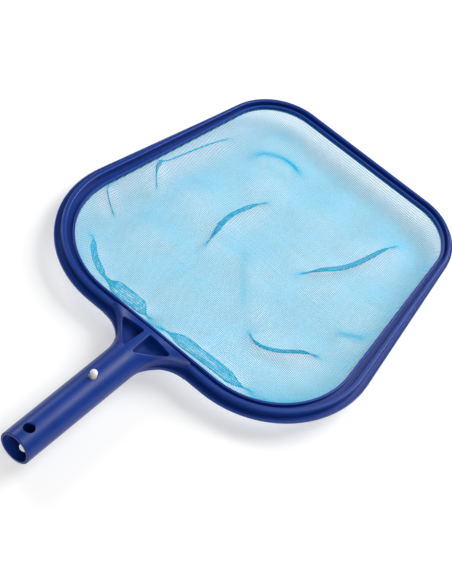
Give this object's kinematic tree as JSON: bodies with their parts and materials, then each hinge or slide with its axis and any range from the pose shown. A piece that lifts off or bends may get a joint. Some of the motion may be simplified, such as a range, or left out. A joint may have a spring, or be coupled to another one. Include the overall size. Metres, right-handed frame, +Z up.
{
  "type": "leaf skimmer net",
  "caption": "Flat leaf skimmer for pools and spas: tapered plastic rim with a shallow mesh bag, webbed socket handle and spring snap-buttons for a telescopic pole.",
  "frame": {"origin": "on the floor, under the middle of the overall length and on the object's plane of symmetry", "axes": "+Z up out of the net's bag, +Y from the handle's mouth towards the far edge of the net, +X to the right seen from the handle"},
  "size_m": [0.2996, 0.4444, 0.0418],
  "materials": {
    "frame_plastic": "satin cobalt blue moulding",
    "ring_plastic": "satin cobalt blue",
    "net_mesh": "fine woven translucent cyan mesh",
    "spring_steel": "rolled strip",
    "button_nylon": "smooth white nylon"
  },
  "bodies": {
    "skimmer": {"frame": "frame_plastic", "net_retaining_ring": "ring_plastic", "net": "net_mesh", "clip_bow": "spring_steel"},
    "upper_clip_arm": {"clip_upper_arm": "spring_steel", "upper_button": "button_nylon"},
    "lower_clip_arm": {"clip_lower_arm": "spring_steel", "lower_button": "button_nylon"}
  },
  "joints": [
    {"name": "upper_button_press", "type": "hinge", "parent": "skimmer", "child": "upper_clip_arm", "pos_m": [0, -0.112, 0.0315], "axis": [1, 0, 0], "range_deg": [0, 15], "stiffness_Nm_per_rad": 0.7, "springref_deg": -4.58},
    {"name": "lower_button_press", "type": "hinge", "parent": "skimmer", "child": "lower_clip_arm", "pos_m": [0, -0.112, 0.0103], "axis": [-1, 0, 0], "range_deg": [0, 15], "stiffness_Nm_per_rad": 0.7, "springref_deg": -4.58}
  ]
}
